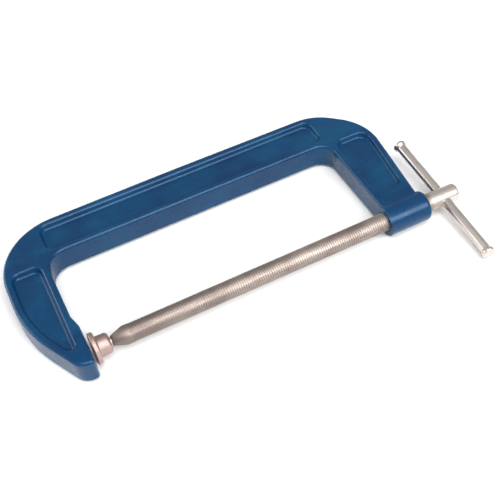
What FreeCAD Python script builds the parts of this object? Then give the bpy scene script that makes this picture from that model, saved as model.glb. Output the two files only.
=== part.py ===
import FreeCAD, Part
import math
import os
import Sketcher
from FreeCAD import Placement, Rotation, Vector

# C clamp with a 250 mm opening, lying on its side.
#
# Frame of the part: the origin is on the screw axis, in the plane of the anvil
# face. +X runs along the screw towards its handle, +Y runs from the screw to the
# spine of the frame, and +Z is square to the flat side of the clamp, upwards.
# The screw is drawn nearly closed: the pad stands a small gap off the anvil.

DIMENSIONS = {
    # Cast frame: a C of I-section, with rims all round a thinner web.
    "frame_thickness": 24.0,
    "throat_span": 268.0,
    "throat_depth": 100.0,
    "spine_depth": 41.5,
    "spine_crown": 1.0,          # the back of the spine bows out this much
    "spine_crown_position": 130.0,
    "spine_crown_radius": 4000.0,
    "jaw_depth": 41.7,
    "jaw_setback": 3.2,
    "jaw_corner_radius": 58.0,
    "jaw_knee_height": 35.8,
    "jaw_knee_radius": 112.0,
    "tip_width": 12.5,
    "tip_outer_radius": 13.0,
    "tip_inner_radius": 3.0,
    "anvil_below_axis": 20.0,
    "anvil_above_axis": 19.0,
    "anvil_step_height": 12.0,
    "anvil_step_radius": 8.0,
    "inner_jaw_radius": 18.0,
    "inner_leg_radius": 15.0,
    "leg_setback": 0.9,
    "leg_foot": 302.8,
    "leg_shoulder": 314.4,
    "shoulder_height": 106.2,
    "shoulder_start": 276.0,
    "shoulder_top_radius": 45.0,
    "shoulder_side_radius": 50.0,
    "rim_radius": 2.8,
    # Recessed panels on both sides, which leave the web between them; the draft of their
    # walls is in degrees.
    "rim_width": 5.6,
    "panel_depth": 5.0,
    "panel_draft": 26.0,
    "panel_corner_radius": 8.0,
    "spine_panel_start": 1.0,
    "spine_panel_end": 268.0,
    "jaw_panel_top": 94.0,
    "jaw_panel_knee": 37.1,
    "jaw_panel_tip": -15.3,
    "jaw_panel_tip_radius": 4.6,
    "leg_panel_top": 98.0,
    "leg_panel_foot": 22.0,
    "leg_panel_narrow": 299.7,
    "leg_panel_wide": 308.3,
    "leg_panel_shoulder_radius": 11.0,
    "panel_lip_radius": 2.6,
    "panel_floor_radius": 2.4,
    # Nut boss at the foot of the leg.
    "boss_diameter": 26.4,
    "boss_length": 40.0,
    "boss_edge_radius": 3.0,
    "bore_diameter": 16.1,
    "bore_chamfer": 1.0,
    # Screw, 16 mm with a 2 mm pitch, drawn at the outer diameter of its thread.
    "screw_diameter": 16.0,
    "ball_diameter": 11.0,
    "neck_diameter": 6.4,
    "neck_end": 18.0,
    "nose_diameter": 8.4,
    "nose_end": 29.0,
    "head_end": 339.5,
    "head_edge_radius": 2.5,
    "cross_hole_position": 326.0,
    "cross_hole_diameter": 9.15,
    "handle_turn": 5.0,          # degrees about the screw, out of the frame's own plane
    # Swivel pad, crimped over a collar behind the ball.
    "pad_gap": 2.2,
    "pad_diameter": 26.4,
    "pad_thickness": 4.2,
    "pad_edge_radius": 1.2,
    "hub_diameter": 17.4,
    "hub_end": 17.0,
    "hub_round": 3.0,
    "mouth_diameter": 9.2,
    "ball_position": 10.05,
    "seat_diameter": 11.1,
    "collar_room_diameter": 13.4,
    "collar_room_latitude": 6.0,
    # Split collar round the neck of the screw.
    "collar_diameter": 13.3,
    "collar_latitude": 18.0,
    "collar_bore": 7.0,
    "collar_slot": 1.2,
    # Tommy bar with upset ends.
    "bar_diameter": 9.0,
    "bar_length": 138.5,
    "bar_end_diameter": 11.8,
    "bar_end_length": 2.6,
    "bar_flare_length": 2.4,
    "bar_end_radius": 1.1,
}

SHEET_LABEL = "Dimensions"
CURVE_TOLERANCE = 1e-6
AXES = {"XY": "XY_Plane", "XZ": "XZ_Plane", "YZ": "YZ_Plane"}


def amount(formula):
    """Value of a formula that adds, subtracts and halves named dimensions."""
    total = 0.0
    sign = 1.0
    scale = 1.0
    for word in formula.split():
        if word == "half":
            scale = 0.5
        elif word in "+-":
            sign = 1.0 if word == "+" else -1.0
            scale = 1.0
        elif word != "0":
            total += sign * scale * DIMENSIONS[word]
            sign = 1.0
            scale = 1.0
    return total


def expression(formula):
    """The same formula in the form that the document's expressions use."""
    words = []
    for word in formula.split():
        if word == "half":
            words.append("0.5 *")
        elif word in ("+", "-", "0"):
            words.append(word)
        else:
            words.append(f"{SHEET_LABEL}.{word}")
    return " ".join(words)


def bind(feature, name, formula):
    feature.setExpression(name, expression(formula))


def add_sheet(doc):
    sheet = doc.addObject("Spreadsheet::Sheet", SHEET_LABEL)
    for row, (name, size) in enumerate(DIMENSIONS.items(), start=1):
        sheet.set(f"A{row}", name)
        sheet.set(f"B{row}", str(size))
        sheet.setAlias(f"B{row}", name)
    doc.recompute()
    return sheet


def add_body(doc, label):
    body = doc.addObject("PartDesign::Body", label)
    body.Label = label
    return body


def origin_plane(body, name):
    for feature in body.Origin.OriginFeatures:
        if feature.Role == AXES[name]:
            return feature
    raise ValueError(f"{body.Label} has no plane {name}")


def add_sketch(body, name, plane="XY", offset="0"):
    """Empty sketch on an origin plane, raised along its normal by the offset."""
    sketch = body.newObject("Sketcher::SketchObject", name)
    sketch.AttachmentSupport = [(origin_plane(body, plane), "")]
    sketch.MapMode = "FlatFace"
    if offset != "0":
        bind(sketch, "AttachmentOffset.Base.z", offset)
    return sketch


def pin_point(sketch, point, x_formula, y_formula):
    """Hold a construction point at a place given by two formulas."""
    for direction, axis, formula in (("X", -2, x_formula), ("Y", -1, y_formula)):
        if amount(formula) == 0.0:
            sketch.addConstraint(Sketcher.Constraint("PointOnObject", point, 1, axis))
            continue
        size = amount(formula)
        index = sketch.addConstraint(Sketcher.Constraint("Distance" + direction, -1, 1, point, 1, size))
        bind(sketch, f"Constraints[{index}]", formula)


def corner_arc(before, corner, after, radius):
    """Arc that rounds a corner: its centre, its ends and whether it turns left."""
    back = (before - corner).normalize()
    ahead = (after - corner).normalize()
    half_angle = back.getAngle(ahead) / 2.0
    reach = radius / math.tan(half_angle)
    bisector = (back + ahead).normalize()
    centre = corner + bisector * (radius / math.sin(half_angle))
    turns_left = back.cross(ahead).z < 0.0
    return centre, corner + back * reach, corner + ahead * reach, turns_left


def draw_rounded_loop(sketch, corners):
    """Closed loop through the corners, each (x formula, y formula, radius name or None).

    Every corner is a pinned construction point, every side passes through the
    points at its two ends, and every rounded corner is an arc tangent to both sides.
    """
    places = [Vector(amount(x), amount(y), 0.0) for x, y, _ in corners]
    count = len(corners)
    starts = list(places)
    ends = list(places)
    arcs = {}
    for i, (_, _, radius_name) in enumerate(corners):
        if radius_name:
            radius = amount(radius_name)
            arc = corner_arc(places[i - 1], places[i], places[(i + 1) % count], radius)
            centre, ends[i], starts[i], turns_left = arc
            arcs[i] = (centre, radius, turns_left)

    points = []
    for i, (x_formula, y_formula, _) in enumerate(corners):
        points.append(sketch.addGeometry(Part.Point(places[i]), True))
        pin_point(sketch, points[i], x_formula, y_formula)

    sides = []
    for i in range(count):
        after = (i + 1) % count
        sides.append(sketch.addGeometry(Part.LineSegment(starts[i], ends[after]), False))
        for point in (points[i], points[after]):
            sketch.addConstraint(Sketcher.Constraint("PointOnObject", point, 1, sides[i]))

    for i, (_, _, radius_name) in enumerate(corners):
        side_before = sides[i - 1]
        side_after = sides[i]
        if i not in arcs:
            sketch.addConstraint(Sketcher.Constraint("Coincident", side_before, 2, side_after, 1))
            continue
        centre, radius, turns_left = arcs[i]
        first, last = (ends[i], starts[i]) if turns_left else (starts[i], ends[i])
        circle = Part.Circle(centre, Vector(0, 0, 1), radius)
        span = (circle.parameter(first), circle.parameter(last))
        arc = sketch.addGeometry(Part.ArcOfCircle(circle, *span), False)
        near, far = (1, 2) if turns_left else (2, 1)
        sketch.addConstraint(Sketcher.Constraint("Tangent", side_before, 2, arc, near))
        sketch.addConstraint(Sketcher.Constraint("Tangent", arc, far, side_after, 1))
        index = sketch.addConstraint(Sketcher.Constraint("Radius", arc, radius))
        bind(sketch, f"Constraints[{index}]", radius_name)


def draw_circle(sketch, diameter_name):
    """Circle round the sketch's origin."""
    radius = amount(diameter_name) / 2.0
    circle = sketch.addGeometry(Part.Circle(Vector(0, 0, 0), Vector(0, 0, 1), radius), False)
    sketch.addConstraint(Sketcher.Constraint("Coincident", circle, 3, -1, 1))
    index = sketch.addConstraint(Sketcher.Constraint("Diameter", circle, 2.0 * radius))
    bind(sketch, f"Constraints[{index}]", diameter_name)


def pad_sketch(body, sketch, name, length, midplane=False):
    pad = body.newObject("PartDesign::Pad", name)
    pad.Profile = sketch
    pad.Midplane = midplane
    bind(pad, "Length", length)
    return pad


def revolve_sketch(body, sketch, name, axis="H_Axis"):
    revolution = body.newObject("PartDesign::Revolution", name)
    revolution.Profile = sketch
    revolution.ReferenceAxis = (sketch, [axis])
    revolution.Angle = 360.0
    return revolution


def round_edges(body, name, chosen, radius_name, kind="Fillet"):
    """Fillet or chamfer on those edges of the body's newest feature that are chosen."""
    body.Document.recompute()
    base = body.Tip
    names = []
    for number, edge in enumerate(base.Shape.Edges, start=1):
        if chosen(edge):
            names.append(f"Edge{number}")
    if not names:
        raise ValueError(f"{name} found no edges")
    feature = body.newObject("PartDesign::" + kind, name)
    feature.Base = (base, names)
    size_name = "Radius" if kind == "Fillet" else "Size"
    bind(feature, size_name, radius_name)
    return feature


def place_primitive(feature, x_formula, rotation=None):
    """Move a primitive along the screw axis and turn it."""
    if rotation is not None:
        feature.AttachmentOffset = Placement(Vector(0, 0, 0), rotation)
    bind(feature, "AttachmentOffset.Base.x", x_formula)


def attach_primitive(body, kind, name):
    feature = body.newObject("PartDesign::" + kind, name)
    feature.AttachmentSupport = [(origin_plane(body, "XY"), "")]
    feature.MapMode = "FlatFace"
    return feature


def turn_about_screw(body, angle_name):
    body.Placement = Placement(Vector(0, 0, 0), Rotation(Vector(1, 0, 0), amount(angle_name)))
    bind(body, "Placement.Rotation.Angle", angle_name)


def lies_at_height(edge, height):
    low = edge.BoundBox.ZMin
    high = edge.BoundBox.ZMax
    return abs(abs(low) - height) < CURVE_TOLERANCE and abs(high - low) < CURVE_TOLERANCE


def frame_outline():
    """Corners of the C, from the tip of the jaw round the outside and back inside."""
    spine_back = "throat_depth + spine_depth"
    leg_inside = "throat_span + leg_setback"
    return [
        ("- tip_width", "- anvil_below_axis", "tip_outer_radius"),
        ("- jaw_depth", "jaw_knee_height", "jaw_knee_radius"),
        ("- jaw_depth", spine_back, "jaw_corner_radius"),
        ("spine_crown_position", spine_back + " + spine_crown", "spine_crown_radius"),
        ("shoulder_start", spine_back, "shoulder_top_radius"),
        ("leg_shoulder", "shoulder_height", "shoulder_side_radius"),
        ("leg_foot", "0", None),
        (leg_inside, "0", None),
        (leg_inside, "throat_depth", "inner_leg_radius"),
        ("- jaw_setback", "throat_depth", "inner_jaw_radius"),
        ("- jaw_setback", "anvil_above_axis + anvil_step_height", "anvil_step_radius"),
        ("0", "anvil_above_axis", "anvil_step_radius"),
        ("0", "- anvil_below_axis", "tip_inner_radius"),
    ]


def panel_outlines():
    """Corners of the three recessed panels: along the spine, in the jaw and in the leg."""
    low = "throat_depth + rim_width"
    high = "throat_depth + spine_depth - rim_width"
    corner = "panel_corner_radius"
    spine = [
        ("spine_panel_start", low, corner),
        ("spine_panel_end", low, corner),
        ("spine_panel_end", high, corner),
        ("spine_panel_start", high, corner),
    ]
    jaw_outside = "- jaw_depth + rim_width"
    jaw_inside = "- jaw_setback - rim_width"
    jaw = [
        (jaw_outside, "jaw_panel_top", corner),
        (jaw_outside, "jaw_panel_knee", "jaw_knee_radius - rim_width"),
        (jaw_inside, "jaw_panel_tip", "jaw_panel_tip_radius"),
        (jaw_inside, "jaw_panel_top", corner),
    ]
    leg_inside = "throat_span + leg_setback + rim_width"
    leg = [
        (leg_inside, "leg_panel_top", corner),
        (leg_inside, "leg_panel_foot", corner),
        ("leg_panel_narrow", "leg_panel_foot", corner),
        ("leg_panel_wide", "leg_panel_top", "leg_panel_shoulder_radius"),
    ]
    return [spine, jaw, leg]


def make_clamp_frame(doc):
    """One casting: C-shaped I-section, anvil at the jaw's tip, nut boss at the leg's foot."""
    body = add_body(doc, "clamp_frame")
    half_thickness = amount("frame_thickness") / 2.0
    floor_height = half_thickness - amount("panel_depth")

    outline = add_sketch(body, "FrameOutline")
    draw_rounded_loop(outline, frame_outline())
    pad_sketch(body, outline, "FrameBlank", "frame_thickness", midplane=True)

    def is_rim_edge(edge):
        box = edge.BoundBox
        lies_on_foot = max(abs(box.YMin), abs(box.YMax)) < CURVE_TOLERANCE
        return lies_at_height(edge, half_thickness) and not lies_on_foot

    round_edges(body, "RoundedRims", is_rim_edge, "rim_radius")

    panels = add_sketch(body, "PanelOutlines", offset="half frame_thickness")
    for loop in panel_outlines():
        draw_rounded_loop(panels, loop)
    recess = body.newObject("PartDesign::Pocket", "Panels")
    recess.Profile = panels
    bind(recess, "Length", "panel_depth")
    # A negative angle narrows the recess towards its floor.
    bind(recess, "TaperAngle", "- panel_draft")
    doc.recompute()

    mirror = body.newObject("PartDesign::Mirrored", "PanelsBelow")
    mirror.Originals = [recess]
    mirror.MirrorPlane = (origin_plane(body, "XY"), [""])
    body.Tip = mirror

    def is_lip_edge(edge):
        return lies_at_height(edge, half_thickness) and not touches_blank_outline(edge)

    def touches_blank_outline(edge):
        middle = edge.valueAt((edge.FirstParameter + edge.LastParameter) / 2.0)
        probe = Part.Vertex(Vector(middle.x, middle.y, 0.0))
        wall = outline.Shape.distToShape(probe)[0]
        return wall < amount("rim_radius") + amount("panel_lip_radius")

    def is_floor_edge(edge):
        return lies_at_height(edge, floor_height)

    round_edges(body, "PanelLips", is_lip_edge, "panel_lip_radius")
    round_edges(body, "PanelFloors", is_floor_edge, "panel_floor_radius")

    boss_outline = add_sketch(body, "BossOutline", plane="YZ", offset="throat_span")
    draw_circle(boss_outline, "boss_diameter")
    pad_sketch(body, boss_outline, "Boss", "boss_length")

    boss_radius = amount("boss_diameter") / 2.0
    boss_far = amount("throat_span + boss_length")

    def is_boss_rim(edge):
        box = edge.BoundBox
        at_far_end = abs(box.Center.x - boss_far) < CURVE_TOLERANCE
        return at_far_end and box.ZMax > boss_radius - CURVE_TOLERANCE

    round_edges(body, "BossEdge", is_boss_rim, "boss_edge_radius")

    bore_outline = add_sketch(body, "BoreOutline", plane="YZ", offset="throat_span")
    draw_circle(bore_outline, "bore_diameter")
    bore = body.newObject("PartDesign::Pocket", "Bore")
    bore.Profile = bore_outline
    bore.Reversed = True
    bind(bore, "Length", "boss_length")

    bore_radius = amount("bore_diameter") / 2.0

    def is_bore_mouth(edge):
        flat = edge.BoundBox.XLength < CURVE_TOLERANCE
        return flat and abs(edge.BoundBox.ZMax - bore_radius) < 1e-3

    round_edges(body, "BoreChamfers", is_bore_mouth, "bore_chamfer", kind="Chamfer")
    return body


def make_clamp_screw(doc):
    """Screw: ball, neck, tapered nose, threaded shank and a cross-drilled head."""
    body = add_body(doc, "clamp_screw")
    profile = add_sketch(body, "ScrewProfile")
    draw_rounded_loop(profile, [
        ("ball_position", "0", None),
        ("ball_position", "half neck_diameter", None),
        ("neck_end", "half neck_diameter", None),
        ("neck_end", "half nose_diameter", None),
        ("nose_end", "half screw_diameter", None),
        ("head_end", "half screw_diameter", "head_edge_radius"),
        ("head_end", "0", None),
    ])
    revolve_sketch(body, profile, "ScrewTurned")

    ball = attach_primitive(body, "AdditiveSphere", "Ball")
    bind(ball, "Radius", "half ball_diameter")
    place_primitive(ball, "ball_position")

    doc.recompute()
    hole = attach_primitive(body, "SubtractiveCylinder", "CrossHole")
    bind(hole, "Radius", "half cross_hole_diameter")
    bind(hole, "Height", "screw_diameter")
    place_primitive(hole, "cross_hole_position", Rotation(Vector(1, 0, 0), -90))
    bind(hole, "AttachmentOffset.Base.y", "- half screw_diameter")
    turn_about_screw(body, "handle_turn")
    return body


def make_swivel_pad(doc):
    """Round pad whose hub holds the ball of the screw in a spherical seat."""
    body = add_body(doc, "swivel_pad")
    profile = add_sketch(body, "PadProfile")
    back = "pad_gap + pad_thickness"
    draw_rounded_loop(profile, [
        ("pad_gap", "0", None),
        ("pad_gap", "half pad_diameter", "pad_edge_radius"),
        (back, "half pad_diameter", "pad_edge_radius"),
        (back, "half hub_diameter", "pad_edge_radius"),
        ("hub_end", "half hub_diameter", "hub_round"),
        ("hub_end", "half mouth_diameter", None),
        ("ball_position", "half mouth_diameter", None),
        ("ball_position", "0", None),
    ])
    revolve_sketch(body, profile, "PadTurned")
    doc.recompute()

    seat = attach_primitive(body, "SubtractiveSphere", "BallSeat")
    bind(seat, "Radius", "half seat_diameter")
    place_primitive(seat, "ball_position")

    room = attach_primitive(body, "SubtractiveSphere", "CollarRoom")
    bind(room, "Radius", "half collar_room_diameter")
    bind(room, "Angle1", "collar_room_latitude")
    place_primitive(room, "ball_position", Rotation(Vector(0, 1, 0), 90))
    return body


def make_retaining_collar(doc):
    """Split spherical collar: clipped round the neck, it keeps the ball in the pad."""
    body = add_body(doc, "retaining_collar")
    zone = attach_primitive(body, "AdditiveSphere", "CollarZone")
    bind(zone, "Radius", "half collar_diameter")
    bind(zone, "Angle1", "collar_latitude")
    place_primitive(zone, "ball_position", Rotation(Vector(0, 1, 0), 90))
    doc.recompute()

    hollow = attach_primitive(body, "SubtractiveSphere", "CollarHollow")
    bind(hollow, "Radius", "half seat_diameter")
    place_primitive(hollow, "ball_position")

    bore = attach_primitive(body, "SubtractiveCylinder", "CollarBore")
    bind(bore, "Radius", "half collar_bore")
    bind(bore, "Height", "collar_diameter")
    place_primitive(bore, "ball_position", Rotation(Vector(0, 1, 0), 90))

    slot = attach_primitive(body, "SubtractiveBox", "CollarSlot")
    bind(slot, "Length", "collar_diameter")
    bind(slot, "Width", "collar_diameter")
    bind(slot, "Height", "collar_slot")
    place_primitive(slot, "ball_position")
    bind(slot, "AttachmentOffset.Base.z", "- half collar_slot")
    return body


def make_tommy_bar(doc):
    """Sliding bar through the screw's head, with both ends upset so it can't fall out."""
    body = add_body(doc, "tommy_bar")
    end = "half bar_length"
    shoulder = end + " - bar_end_length"
    flare = shoulder + " - bar_flare_length"
    low_end = "- half bar_length"
    low_shoulder = low_end + " + bar_end_length"
    low_flare = low_shoulder + " + bar_flare_length"
    rounding = "bar_end_radius"
    profile = add_sketch(body, "BarProfile")
    draw_rounded_loop(profile, [
        ("0", low_end, None),
        ("half bar_end_diameter", low_end, rounding),
        ("half bar_end_diameter", low_shoulder, rounding),
        ("half bar_diameter", low_flare, rounding),
        ("half bar_diameter", flare, rounding),
        ("half bar_end_diameter", shoulder, rounding),
        ("half bar_end_diameter", end, rounding),
        ("0", end, None),
    ])
    revolve_sketch(body, profile, "BarTurned", axis="V_Axis")
    turn_about_screw(body, "handle_turn")
    bind(body, "Placement.Base.x", "cross_hole_position")
    return body


def check_document(doc, bodies):
    """Stop before anything is written if a feature failed or a piece isn't one valid solid."""
    for feature in doc.Objects:
        if "Invalid" in feature.State or "Error" in feature.State:
            raise RuntimeError(f"{feature.Label} failed: {feature.State}")
    for body in bodies:
        shape = body.Shape
        if shape.isNull() or not shape.isValid() or len(shape.Solids) != 1:
            raise RuntimeError(f"{body.Label} isn't one valid solid")


def main():
    doc = FreeCAD.newDocument("CClamp")
    add_sheet(doc)
    makers = (
        make_clamp_frame,
        make_clamp_screw,
        make_swivel_pad,
        make_retaining_collar,
        make_tommy_bar,
    )
    bodies = [make(doc) for make in makers]
    doc.recompute()
    check_document(doc, bodies)
    os.makedirs("parts", exist_ok=True)
    for body in bodies:
        body.Shape.exportStep(f"parts/{body.Label}.step")
        box = body.Shape.BoundBox
        print(f"{body.Label}: {body.Shape.Volume:.0f} mm3, {box}")


main()
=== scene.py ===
import math

import bmesh
import bpy
from mathutils import Matrix, Vector


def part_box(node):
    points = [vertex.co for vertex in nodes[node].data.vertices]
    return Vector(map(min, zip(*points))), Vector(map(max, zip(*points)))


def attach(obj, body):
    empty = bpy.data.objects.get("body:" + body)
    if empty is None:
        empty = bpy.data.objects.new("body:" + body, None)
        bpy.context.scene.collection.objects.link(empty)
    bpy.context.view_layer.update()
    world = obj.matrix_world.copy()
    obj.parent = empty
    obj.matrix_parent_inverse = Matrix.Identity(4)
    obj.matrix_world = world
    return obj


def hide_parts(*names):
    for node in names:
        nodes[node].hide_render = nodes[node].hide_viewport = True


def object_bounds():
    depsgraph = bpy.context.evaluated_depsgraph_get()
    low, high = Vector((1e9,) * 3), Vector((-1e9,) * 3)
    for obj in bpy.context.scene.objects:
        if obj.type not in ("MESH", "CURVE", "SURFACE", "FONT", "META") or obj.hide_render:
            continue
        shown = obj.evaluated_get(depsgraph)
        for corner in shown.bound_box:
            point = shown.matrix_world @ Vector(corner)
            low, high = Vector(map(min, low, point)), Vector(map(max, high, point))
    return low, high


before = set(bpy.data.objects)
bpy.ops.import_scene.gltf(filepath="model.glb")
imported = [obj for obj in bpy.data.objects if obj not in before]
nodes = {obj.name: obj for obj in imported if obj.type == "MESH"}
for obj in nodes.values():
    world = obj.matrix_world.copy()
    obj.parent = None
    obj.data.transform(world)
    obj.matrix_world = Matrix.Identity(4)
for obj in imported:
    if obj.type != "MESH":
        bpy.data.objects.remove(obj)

# Looks of the C clamp: a blue enamelled casting, a bare steel screw with a real
# helical thread, a swivel pad of warm grey steel and a bright sliding bar.

MM = 0.001

cad_low, cad_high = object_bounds()
screw_low, screw_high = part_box("clamp_screw")
bar_low, bar_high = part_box("tommy_bar")
clamp_middle = (cad_low + cad_high) / 2.0

# Screw, in millimetres along its own axis, which is the X axis.
SHANK_RADIUS = screw_high.z / MM
HEAD_END = screw_high.x / MM
HEAD_ROUND = 2.5
BALL_RADIUS = 5.5
BALL_CENTRE = screw_low.x / MM + BALL_RADIUS
NECK_RADIUS = 3.2
NOSE_START = 18.0
NOSE_END = 29.0
NOSE_RADIUS = 4.2
NOSE_CHAMFER = 0.3
PITCH = 2.0
THREAD_START = 31.0
THREAD_TURNS = 139
THREAD_DEPTH = 0.6
THREAD_RUNOUT = 4.0
# One pitch of the thread's profile: place along the pitch, and share of the full depth.
THREAD_FORM = ((0.0, 0.0), (0.42, 0.0), (0.5, 1.0), (0.92, 1.0))
RING_POINTS = 48
BALL_STEPS = 16
HEAD_ROUND_STEPS = 7
# Edges of the screw that turn by this many degrees or more stay sharp.
SHARP_FROM = 28.0
# Places along the screw, in millimetres, between which the painted shade on its front end fades out.
NOSE_SHADE_FULL = 20.0
NOSE_SHADE_GONE = 140.0

# Hole through the head for the bar, in millimetres.
HOLE_X = (bar_low.x + bar_high.x) / 2.0 / MM
HOLE_RADIUS = 4.575
HOLE_LENGTH = 30.0
HANDLE_TURN = math.radians(5.0)

# Camera: place, clipping and directions in metres, lens and sensor in millimetres.
CAMERA_AT = Vector((-0.02015, -0.4213, 0.5587))
CAMERA_RIGHT = Vector((0.8934, -0.4420, -0.0783))
CAMERA_FORWARD = Vector((0.236, 0.610, -0.756))
CAMERA_LENS = 63.2
CAMERA_SENSOR = 36.0
CAMERA_NEAR = 0.01
CAMERA_FAR = 50.0

# Studio: softboxes in front of the clamp and above it, and a weak one behind it.
SOFTBOXES = {
    "key": {"towards": (0.28, -0.72, 0.63), "distance": 1.6, "size": (1.0, 0.7), "power": 20.0},
    "top": {"towards": (-0.10, -0.30, 0.95), "distance": 1.8, "size": (1.4, 1.0), "power": 24.0},
    "back": {"towards": (-0.75, 0.60, 0.28), "distance": 1.5, "size": (1.0, 0.8), "power": 8.0},
}
WORLD_LIGHT = 0.5
WORLD_SEEN = 1.0
FLOOR_REACH = 6.0
FLOOR_GAP = 0.0005
# The card glows a little beyond the softboxes' pool of light, so that it stays pale to its edge.
FLOOR_GLOW = 0.62
FLOOR_GLOW_FROM = 0.8
FLOOR_GLOW_FULL = 2.4

# Colours, as sRGB from 0 to 255.
PAINT_DARK = (1, 43, 79)
PAINT_LIGHT = (3, 58, 94)
PAINT_STREAK = (3, 72, 101)
# Lighter blue of the frame's edges: partly paint worn by rubbing, partly a painted highlight.
PAINT_RUBBED_AND_HIGHLIGHT = (70, 110, 150)
# Lighter steel of the screw's neck and head: partly a finish from the lathe, partly a painted
# highlight.
TURNED_STEEL_AND_HIGHLIGHT = (218, 209, 201)
# Darker steel of the screw's nose: painted shade.
NOSE_SHADE_STEEL = (132, 120, 114)


def linear(red, green, blue):
    """Scene-linear colour of an sRGB colour given in 0 to 255."""
    def one(value):
        value /= 255.0
        return value / 12.92 if value <= 0.04045 else ((value + 0.055) / 1.055) ** 2.4
    return one(red), one(green), one(blue), 1.0


class Nodes:
    """Short way to build a material's node tree. Underscores in socket names stand for spaces."""

    def __init__(self, name):
        self.material = bpy.data.materials.new(name)
        self.material.use_nodes = True
        self.tree = self.material.node_tree
        self.tree.nodes.clear()
        self.output = self.add("ShaderNodeOutputMaterial")
        self.shader = self.add("ShaderNodeBsdfPrincipled")
        self.link(self.shader.outputs["BSDF"], self.output.inputs["Surface"])

    def add(self, kind, **values):
        node = self.tree.nodes.new(kind)
        for key, value in values.items():
            if key in node.inputs:
                node.inputs[key].default_value = value
            else:
                setattr(node, key, value)
        return node

    def link(self, source, target):
        self.tree.links.new(source, target)

    def set(self, **values):
        for key, value in values.items():
            self.shader.inputs[key.replace("_", " ")].default_value = value

    def drive(self, **sources):
        for key, source in sources.items():
            self.link(source, self.shader.inputs[key.replace("_", " ")])

    def coordinates(self, stretch):
        texture = self.add("ShaderNodeTexCoord")
        mapping = self.add("ShaderNodeMapping")
        mapping.inputs["Scale"].default_value = stretch
        self.link(texture.outputs["Object"], mapping.inputs["Vector"])
        return mapping.outputs["Vector"]

    def noise(self, scale, detail=4.0, stretch=(1.0, 1.0, 1.0), roughness=0.5):
        node = self.add("ShaderNodeTexNoise", Scale=scale, Detail=detail, Roughness=roughness)
        self.link(self.coordinates(stretch), node.inputs["Vector"])
        return node.outputs["Fac"]

    def remap(self, value, low, high, to_low=0.0, to_high=1.0):
        node = self.add("ShaderNodeMapRange")
        node.inputs["From Min"].default_value = low
        node.inputs["From Max"].default_value = high
        node.inputs["To Min"].default_value = to_low
        node.inputs["To Max"].default_value = to_high
        self.link(value, node.inputs["Value"])
        return node.outputs["Result"]

    def times(self, first, second):
        node = self.add("ShaderNodeMath", operation="MULTIPLY")
        self.link(first, node.inputs[0])
        self.link(second, node.inputs[1])
        return node.outputs[0]

    def blend_values(self, factor, first, second):
        """Value that goes from a driven one to a fixed one as the factor goes from 0 to 1."""
        node = self.add("ShaderNodeMix", data_type="FLOAT")
        self.link(factor, node.inputs[0])
        self.link(first, node.inputs[2])
        node.inputs[3].default_value = second
        return node.outputs[0]

    def along_x(self):
        split = self.add("ShaderNodeSeparateXYZ")
        self.link(self.coordinates((1.0, 1.0, 1.0)), split.inputs[0])
        return split.outputs["X"]

    def distance_from_origin(self):
        length = self.add("ShaderNodeVectorMath", operation="LENGTH")
        self.link(self.coordinates((1.0, 1.0, 1.0)), length.inputs[0])
        return length.outputs["Value"]

    def mix(self, factor, first, second):
        node = self.add("ShaderNodeMix", data_type="RGBA")
        self.link(factor, node.inputs[0])
        for socket, value in ((node.inputs[6], first), (node.inputs[7], second)):
            if isinstance(value, tuple):
                socket.default_value = value
            else:
                self.link(value, socket)
        return node.outputs[2]

    def bump(self, height, strength, distance, after=None):
        node = self.add("ShaderNodeBump", Strength=strength, Distance=distance)
        self.link(height, node.inputs["Height"])
        if after is not None:
            self.link(after, node.inputs["Normal"])
        return node.outputs["Normal"]

    def edges(self, radius, low, high):
        """Share of edge, from how far a rounded normal leans away from the true one."""
        rounded = self.add("ShaderNodeBevel", Radius=radius, samples=6)
        geometry = self.add("ShaderNodeNewGeometry")
        match = self.add("ShaderNodeVectorMath", operation="DOT_PRODUCT")
        self.link(rounded.outputs["Normal"], match.inputs[0])
        self.link(geometry.outputs["Normal"], match.inputs[1])
        return self.remap(match.outputs["Value"], high, low)


def frame_paint():
    """Blue gloss enamel over a sand casting: soft mottling, edges lighter where the paint is worn
    and with a painted highlight, faint sand texture.
    """
    n = Nodes("frame_paint")
    mottling = n.remap(n.noise(22.0, 5.0, roughness=0.6), 0.36, 0.66)
    enamel = n.mix(mottling, linear(*PAINT_DARK), linear(*PAINT_LIGHT))
    streaks = n.remap(n.noise(60.0, 4.0, (0.35, 1.0, 1.0)), 0.55, 0.75, 0.0, 0.5)
    enamel = n.mix(streaks, enamel, linear(*PAINT_STREAK))
    # Edges are lighter: partly paint worn by rubbing, partly a painted highlight.
    rubbed_and_highlight = n.times(n.edges(0.0016, 0.88, 0.985), n.remap(n.noise(150.0, 5.0), 0.5, 0.68))
    n.drive(Base_Color=n.mix(rubbed_and_highlight, enamel, linear(*PAINT_RUBBED_AND_HIGHLIGHT)))
    n.drive(Roughness=n.remap(n.noise(90.0, 3.0), 0.3, 0.7, 0.24, 0.36))
    n.set(Metallic=0.0, IOR=1.5, Specular_Tint=(0.5, 0.72, 1.0, 1.0))
    sand = n.bump(n.noise(210.0, 3.0), 0.12, 0.0004)
    n.drive(Normal=n.bump(n.noise(45.0, 3.0), 0.25, 0.0014, sand))
    return n.material


def steel(name, dark, light, roughness, grain, stretch, streak):
    """Bare steel with stains, and a machined grain that the stretch lays along or round the part."""
    n = Nodes(name)
    stains = n.remap(n.noise(45.0, 5.0), 0.35, 0.7)
    lines = n.noise(grain, 3.0, stretch)
    shade = linear(*[channel * 0.7 for channel in dark])
    stained = n.mix(stains, linear(*dark), linear(*light))
    n.base = n.mix(n.remap(lines, 0.3, 0.7, 0.0, streak), stained, shade)
    n.roughness = n.remap(lines, 0.3, 0.7, roughness - 0.05, roughness + 0.09)
    n.drive(Base_Color=n.base, Roughness=n.roughness, Normal=n.bump(lines, 0.18, 0.00008))
    n.set(Metallic=1.0)
    return n


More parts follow.
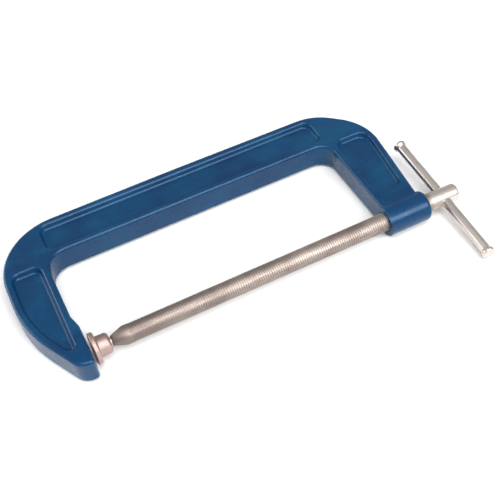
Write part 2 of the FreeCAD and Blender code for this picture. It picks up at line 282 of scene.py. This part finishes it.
def screw_steel():
    """Dull rolled thread with painted shade towards the nose, and a neck and head finished bright on
    the lathe and given a painted highlight.
    """
    n = steel("screw_steel", dark=(160, 147, 140), light=(190, 179, 171), roughness=0.52,
              grain=620.0, stretch=(0.08, 1.0, 1.0), streak=0.3)
    # Painted shade: the screw gets darker towards its nose.
    past_nose_shade = n.remap(n.along_x(), NOSE_SHADE_FULL * MM, NOSE_SHADE_GONE * MM)
    n.base = n.mix(past_nose_shade, linear(*NOSE_SHADE_STEEL), n.base)
    # The neck and head get lighter steel: partly a finish from the lathe, partly a painted
    # highlight.
    head_start = (THREAD_START + (THREAD_TURNS + 1) * PITCH) * MM
    head_turned_and_highlit = n.remap(n.along_x(), head_start, head_start + THREAD_RUNOUT * MM)
    bright = linear(*TURNED_STEEL_AND_HIGHLIGHT)
    past_neck = n.remap(n.along_x(), NOSE_START * MM, (NOSE_START + NOSE_CHAMFER) * MM)
    n.base = n.mix(past_neck, bright, n.base)
    n.drive(Base_Color=n.mix(head_turned_and_highlit, n.base, bright))
    n.drive(Roughness=n.blend_values(head_turned_and_highlit, n.roughness, 0.34))
    return n.material


def new_piece(name, mesh, body, node, material):
    """Object made from a mesh, standing for a CAD node and riding its body."""
    piece = bpy.data.objects.new(name, mesh)
    bpy.context.scene.collection.objects.link(piece)
    mesh.materials.append(material)
    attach(piece, body)
    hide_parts(node)
    return piece


def on_screw(bm, x, radius, step):
    """Vertex at a place along the screw, a radius, and a step round it."""
    angle = 2.0 * math.pi * step / RING_POINTS
    return bm.verts.new((x * MM, radius * math.cos(angle) * MM, radius * math.sin(angle) * MM))


def add_ring(bm, x, radius):
    return [on_screw(bm, x, radius, step) for step in range(RING_POINTS)]


def join_rings(bm, first, second):
    for step in range(RING_POINTS):
        after = (step + 1) % RING_POINTS
        bm.faces.new((first[step], first[after], second[after], second[step]))


def close_ring(bm, ring, x):
    """Fan from a ring to a point on the axis."""
    tip = bm.verts.new((x * MM, 0.0, 0.0))
    for step in range(RING_POINTS):
        bm.faces.new((tip, ring[step], ring[(step + 1) % RING_POINTS]))


def thread_depth_at(x):
    """Depth of the thread, which runs out to nothing at both ends."""
    thread_end = THREAD_START + (THREAD_TURNS + THREAD_FORM[-1][0]) * PITCH
    into = min(x - THREAD_START - PITCH, thread_end - PITCH - x)
    return THREAD_DEPTH * max(0.0, min(1.0, into / THREAD_RUNOUT))


def add_helix(bm):
    """Rows of the thread's profile, winding along the screw as a right-hand helix."""
    rows = []
    for step in range(THREAD_TURNS * RING_POINTS + 1):
        row = []
        for place, share in THREAD_FORM:
            x = THREAD_START + PITCH * (step / RING_POINTS + place)
            row.append(on_screw(bm, x, SHANK_RADIUS - share * thread_depth_at(x), step))
        rows.append(row)
    last = len(THREAD_FORM) - 1
    for step in range(len(rows) - 1):
        here, after = rows[step], rows[step + 1]
        for i in range(last):
            bm.faces.new((here[i], after[i], after[i + 1], here[i + 1]))
        if step + RING_POINTS + 1 < len(rows):
            turn_on, turn_on_after = rows[step + RING_POINTS], rows[step + RING_POINTS + 1]
            bm.faces.new((here[last], after[last], turn_on_after[0], turn_on[0]))
    return rows


def join_helix_start(bm, ring, rows):
    """Skin between a flat ring and the first turn of the thread."""
    for step in range(RING_POINTS - 1):
        bm.faces.new((ring[step], ring[step + 1], rows[step + 1][0], rows[step][0]))
    bm.faces.new([ring[-1], ring[0]] + rows[0] + [rows[RING_POINTS][0], rows[RING_POINTS - 1][0]])


def join_helix_end(bm, rows, ring):
    """Skin between the last turn of the thread and a flat ring."""
    turn = rows[-RING_POINTS - 1:]
    for step in range(1, RING_POINTS):
        after = (step + 1) % RING_POINTS
        bm.faces.new((turn[step][-1], turn[step + 1][-1], ring[after], ring[step]))
    bm.faces.new([turn[0][-1], turn[1][-1], ring[1], ring[0]] + list(reversed(turn[-1])))


def front_stations():
    """Stations (x, radius) of the ball, the neck and the nose."""
    neck_angle = math.asin(NECK_RADIUS / BALL_RADIUS)
    stations = []
    for i in range(1, BALL_STEPS + 1):
        angle = math.pi - (math.pi - neck_angle) * i / BALL_STEPS
        stations.append((BALL_CENTRE + BALL_RADIUS * math.cos(angle), BALL_RADIUS * math.sin(angle)))
    stations.append((NOSE_START, NECK_RADIUS))
    stations.append((NOSE_START, NOSE_RADIUS - NOSE_CHAMFER))
    stations.append((NOSE_START + NOSE_CHAMFER, NOSE_RADIUS))
    stations.append((NOSE_END, SHANK_RADIUS))
    return stations


def head_stations():
    """Stations (x, radius) of the rounded head."""
    stations = []
    for i in range(HEAD_ROUND_STEPS + 1):
        angle = math.pi / 2.0 * i / HEAD_ROUND_STEPS
        x = HEAD_END - HEAD_ROUND * (1.0 - math.sin(angle))
        stations.append((x, SHANK_RADIUS - HEAD_ROUND * (1.0 - math.cos(angle))))
    return stations


def screw_mesh():
    """Ball, neck, nose, threaded shank and rounded head, as one closed skin."""
    bm = bmesh.new()
    front = [add_ring(bm, x, radius) for x, radius in front_stations()]
    head = [add_ring(bm, x, radius) for x, radius in head_stations()]
    for rings in (front, head):
        for first, second in zip(rings, rings[1:]):
            join_rings(bm, first, second)
    rows = add_helix(bm)
    join_helix_start(bm, front[-1], rows)
    join_helix_end(bm, rows, head[0])
    close_ring(bm, front[0], BALL_CENTRE - BALL_RADIUS)
    close_ring(bm, head[-1], HEAD_END)
    bmesh.ops.recalc_face_normals(bm, faces=bm.faces)
    mesh = bpy.data.meshes.new("screw_body")
    bm.to_mesh(mesh)
    bm.free()
    return mesh


def cut_cross_hole(piece):
    """Drill the hole for the bar through the head of the screw."""
    drill_mesh = bpy.data.meshes.new("drill")
    bm = bmesh.new()
    bmesh.ops.create_cone(bm, cap_ends=True, segments=RING_POINTS, radius1=HOLE_RADIUS * MM,
                          radius2=HOLE_RADIUS * MM, depth=HOLE_LENGTH * MM)
    bm.to_mesh(drill_mesh)
    bm.free()
    drill = bpy.data.objects.new("drill", drill_mesh)
    bpy.context.scene.collection.objects.link(drill)
    along_bar = Matrix.Rotation(HANDLE_TURN + math.pi / 2.0, 4, "X")
    drill.matrix_world = Matrix.Translation((HOLE_X * MM, 0.0, 0.0)) @ along_bar
    boolean = piece.modifiers.new("cross_hole", "BOOLEAN")
    boolean.operation = "DIFFERENCE"
    boolean.solver = "EXACT"
    boolean.object = drill
    bpy.context.view_layer.update()
    graph = bpy.context.evaluated_depsgraph_get()
    drilled = bpy.data.meshes.new_from_object(piece.evaluated_get(graph))
    piece.modifiers.clear()
    piece.data = drilled
    bpy.data.objects.remove(drill)


def smooth_by_angle(mesh, degrees):
    mesh.shade_smooth()
    mesh.set_sharp_from_angle(angle=math.radians(degrees))


def dress(node, material):
    node.data.materials.clear()
    node.data.materials.append(material)


def add_softbox(name, towards, distance, size, power):
    """Rectangular softbox that faces the middle of the clamp."""
    data = bpy.data.lights.new(name, "AREA")
    data.shape = "RECTANGLE"
    data.size, data.size_y = size
    data.energy = power
    lamp = bpy.data.objects.new(name, data)
    bpy.context.scene.collection.objects.link(lamp)
    direction = Vector(towards).normalized()
    lamp.location = clamp_middle + direction * distance
    lamp.rotation_mode = "QUATERNION"
    lamp.rotation_quaternion = (-direction).to_track_quat("-Z", "Y")


def add_floor():
    """Pale card just under the clamp."""
    height = cad_low.z - FLOOR_GAP
    signs = ((-1, -1), (1, -1), (1, 1), (-1, 1))
    corners = [(x * FLOOR_REACH, y * FLOOR_REACH, height) for x, y in signs]
    mesh = bpy.data.meshes.new("floor")
    mesh.from_pydata(corners, [], [(0, 1, 2, 3)])
    floor = bpy.data.objects.new("floor", mesh)
    bpy.context.scene.collection.objects.link(floor)
    n = Nodes("floor_card")
    card = n.mix(n.remap(n.noise(3.0, 2.0), 0.3, 0.7), (0.86, 0.86, 0.86, 1.0), (0.9, 0.9, 0.9, 1.0))
    glow = n.remap(n.distance_from_origin(), FLOOR_GLOW_FROM, FLOOR_GLOW_FULL, 0.0, FLOOR_GLOW)
    n.drive(Base_Color=card, Emission_Strength=glow)
    n.set(Roughness=0.9, Emission_Color=(1.0, 1.0, 1.0, 1.0))
    mesh.materials.append(n.material)


def add_world():
    """Dim grey surroundings that look white where the camera sees them."""
    world = bpy.data.worlds.new("studio")
    world.use_nodes = True
    tree = world.node_tree
    seen = tree.nodes.new("ShaderNodeLightPath")
    strength = tree.nodes.new("ShaderNodeMapRange")
    strength.inputs["To Min"].default_value = WORLD_LIGHT
    strength.inputs["To Max"].default_value = WORLD_SEEN
    tree.links.new(seen.outputs["Is Camera Ray"], strength.inputs["Value"])
    background = tree.nodes["Background"]
    background.inputs["Color"].default_value = (1.0, 1.0, 1.0, 1.0)
    tree.links.new(strength.outputs["Result"], background.inputs["Strength"])
    bpy.context.scene.world = world


def add_camera():
    data = bpy.data.cameras.new("camera")
    data.lens = CAMERA_LENS
    data.sensor_width = CAMERA_SENSOR
    data.clip_start = CAMERA_NEAR
    data.clip_end = CAMERA_FAR
    camera = bpy.data.objects.new("camera", data)
    bpy.context.scene.collection.objects.link(camera)
    forward = CAMERA_FORWARD.normalized()
    right = (CAMERA_RIGHT - forward * CAMERA_RIGHT.dot(forward)).normalized()
    up = right.cross(forward)
    turn = Matrix((right, up, -forward)).transposed().to_4x4()
    camera.matrix_world = Matrix.Translation(CAMERA_AT) @ turn
    bpy.context.scene.camera = camera


pad_steel = steel("pad_steel", dark=(164, 138, 131), light=(192, 171, 164), roughness=0.5,
                  grain=700.0, stretch=(8.0, 1.0, 1.0), streak=0.2)
collar_steel = steel("collar_steel", dark=(96, 96, 100), light=(122, 122, 126), roughness=0.36,
                     grain=600.0, stretch=(6.0, 1.0, 1.0), streak=0.3)
bar_steel = steel("bar_steel", dark=(204, 194, 186), light=(227, 218, 211), roughness=0.33,
                  grain=520.0, stretch=(1.0, 0.05, 1.0), streak=0.22)
dress(nodes["clamp_frame"], frame_paint())
dress(nodes["swivel_pad"], pad_steel.material)
dress(nodes["retaining_collar"], collar_steel.material)
dress(nodes["tommy_bar"], bar_steel.material)

screw = new_piece("threaded_screw", screw_mesh(), "screw", "clamp_screw", screw_steel())
cut_cross_hole(screw)
smooth_by_angle(screw.data, SHARP_FROM)

add_floor()
add_world()
for softbox_name, softbox in SOFTBOXES.items():
    add_softbox(softbox_name, **softbox)
add_camera()
bpy.context.scene.view_settings.view_transform = "Standard"
